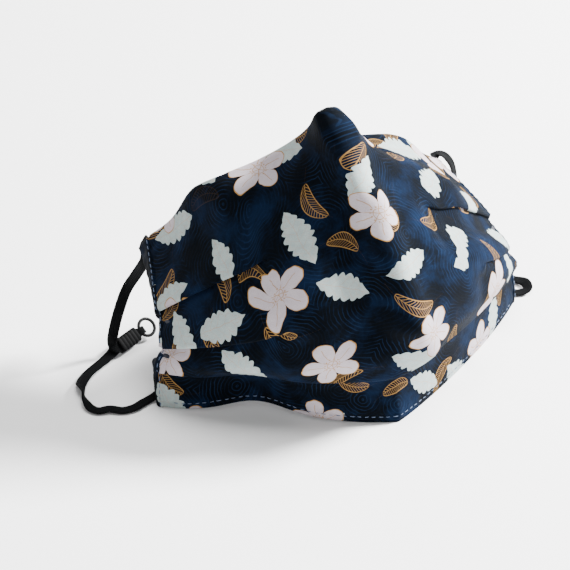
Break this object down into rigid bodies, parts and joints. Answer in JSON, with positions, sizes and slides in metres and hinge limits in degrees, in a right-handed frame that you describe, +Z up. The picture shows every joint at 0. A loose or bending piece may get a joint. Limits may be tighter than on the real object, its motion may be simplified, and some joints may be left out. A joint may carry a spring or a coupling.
{
  "type": "pleated cloth face mask",
  "caption": "Pleated cloth face mask, opened as worn and standing on its lower edge, with elastic ear loops in side casings, ribbed adjuster sleeves and small rings.",
  "frame": {"origin": "on the surface that the mask stands on, under the middle of the cloth's width and depth", "axes": "+X from the left hem to the right hem as seen from the front, -Y the way the outer face looks, +Z up"},
  "size_m": [0.193, 0.1019, 0.1158],
  "materials": {
    "cloth": "matte woven cotton",
    "casing_cloth": "matte woven cotton, folded and stitched",
    "elastic": "matte knitted elastic",
    "sleeve": "matte soft rubber",
    "ring": "coated, slightly shiny"
  },
  "bodies": {
    "root": {"pleated_panel": "cloth", "left_side_hem": "casing_cloth", "right_side_hem": "casing_cloth", "left_ear_loop": "elastic", "right_ear_loop": "elastic", "left_adjuster_sleeve": "sleeve", "right_adjuster_sleeve": "sleeve", "left_adjuster_ring": "ring", "right_adjuster_ring": "ring"}
  },
  "joints": []
}
